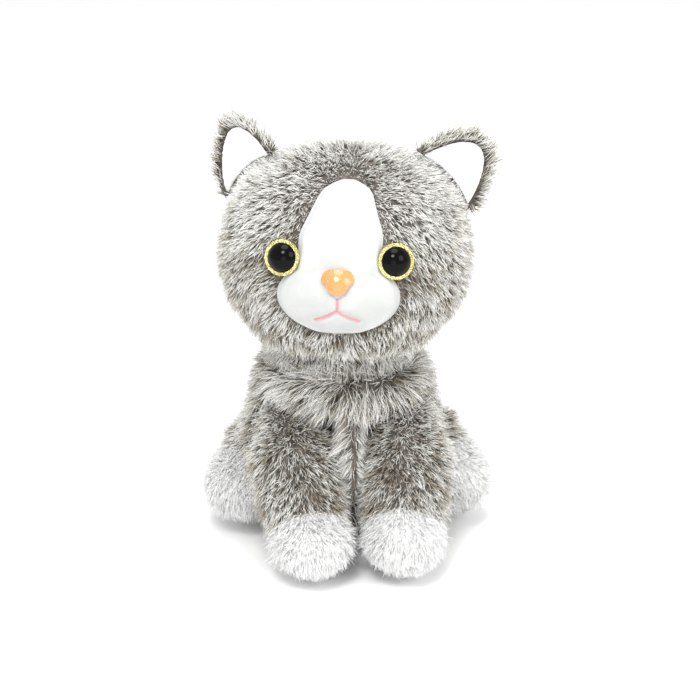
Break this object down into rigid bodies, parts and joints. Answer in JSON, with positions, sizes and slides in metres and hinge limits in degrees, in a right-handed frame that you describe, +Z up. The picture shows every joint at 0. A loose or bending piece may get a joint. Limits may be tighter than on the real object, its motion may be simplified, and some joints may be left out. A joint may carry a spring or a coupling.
{
  "type": "plush cat",
  "caption": "Seated plush cat with a big round head, short grey mottled fur, white blaze and muzzle, white paws and feet, and dark domed eyes with a glitter rim.",
  "frame": {"origin": "on the flat seat that the cat sits on, near its middle, at floor height", "axes": "+Z up, the cat's body faces -Y, +X is its own left side"},
  "size_m": [0.1351, 0.1655, 0.1979],
  "materials": {
    "grey_fur": "plush pile, frosted grey and brown",
    "white_fur": "long white pile",
    "white_nap": "smooth short nap",
    "filling": "loose fibre",
    "eye_dome": "gloss",
    "eye_rim": "glitter",
    "nose": "gloss with fine glitter",
    "washer": "matte",
    "pink_thread": "embroidery thread",
    "grey_thread": "sewing thread",
    "pouch": "plain woven",
    "pellets": "matte"
  },
  "bodies": {
    "torso": {"torso_cover": "grey_fur", "belly_panel": "grey_fur", "torso_filling": "filling", "pellet_pouch": "pouch", "pellet_fill": "pellets", "closing_stitches": "grey_thread"},
    "neck": {"neck_cover": "grey_fur", "neck_filling": "filling"},
    "head": {"head_cover": "grey_fur", "face_panel": "white_nap", "head_filling": "filling", "mouth_stitches": "pink_thread", "left_eye": "eye_dome", "right_eye": "eye_dome", "left_eye_rim": "eye_rim", "right_eye_rim": "eye_rim", "left_eye_washer": "washer", "right_eye_washer": "washer", "nose": "nose", "nose_washer": "washer"},
    "left_ear": {"left_ear_back": "grey_fur", "left_ear_lining": "white_nap"},
    "right_ear": {"right_ear_back": "grey_fur", "right_ear_lining": "white_nap"},
    "left_front_leg": {"left_front_leg_cover": "grey_fur", "left_front_paw_cover": "white_fur", "left_front_leg_filling": "filling"},
    "right_front_leg": {"right_front_leg_cover": "grey_fur", "right_front_paw_cover": "white_fur", "right_front_leg_filling": "filling"},
    "left_hind_leg": {"left_thigh_cover": "grey_fur", "left_foot_cover": "white_fur", "left_hind_leg_filling": "filling"},
    "right_hind_leg": {"right_thigh_cover": "grey_fur", "right_foot_cover": "white_fur", "right_hind_leg_filling": "filling"},
    "tail": {"tail_cover": "grey_fur", "tail_filling": "filling"}
  },
  "joints": [
    {"name": "neck_turn", "type": "hinge", "parent": "torso", "child": "neck", "pos_m": [-0.005, 0.004, 0.098], "axis": [0, 0, 1], "range_deg": [-20, 20], "stiffness_Nm_per_rad": 0.05},
    {"name": "head_nod", "type": "hinge", "parent": "neck", "child": "head", "pos_m": [-0.005, 0.004, 0.098], "axis": [0.9913, -0.1305, -0.0175], "range_deg": [-10, 10], "stiffness_Nm_per_rad": 0.15},
    {"name": "left_ear_fold", "type": "hinge", "parent": "head", "child": "left_ear", "pos_m": [0.03978, -0.00089, 0.17423], "axis": [0.6887, -0.0907, -0.7193], "range_deg": [-20, 20], "stiffness_Nm_per_rad": 0.01},
    {"name": "right_ear_fold", "type": "hinge", "parent": "head", "child": "right_ear", "pos_m": [-0.04349, 0.01008, 0.17569], "axis": [0.5454, -0.5441, 0.6376], "range_deg": [-20, 20], "stiffness_Nm_per_rad": 0.01},
    {"name": "left_front_leg_swing", "type": "hinge", "parent": "torso", "child": "left_front_leg", "pos_m": [0.02404, -0.014, 0.058], "axis": [-1, 0, 0], "range_deg": [0, 32], "stiffness_Nm_per_rad": 0.03},
    {"name": "right_front_leg_swing", "type": "hinge", "parent": "torso", "child": "right_front_leg", "pos_m": [-0.02996, -0.014, 0.058], "axis": [-1, 0, 0], "range_deg": [0, 32], "stiffness_Nm_per_rad": 0.03},
    {"name": "left_hind_leg_lift", "type": "hinge", "parent": "torso", "child": "left_hind_leg", "pos_m": [0.03516, 0.021, 0.036], "axis": [0, -1, 0], "range_deg": [0, 10], "stiffness_Nm_per_rad": 0.03},
    {"name": "right_hind_leg_lift", "type": "hinge", "parent": "torso", "child": "right_hind_leg", "pos_m": [-0.03884, 0.021, 0.036], "axis": [0, 1, 0], "range_deg": [0, 6], "stiffness_Nm_per_rad": 0.03},
    {"name": "tail_wag", "type": "hinge", "parent": "torso", "child": "tail", "pos_m": [0, 0.042, 0.013], "axis": [0, 0, 1], "range_deg": [-20, 20], "stiffness_Nm_per_rad": 0.01}
  ]
}
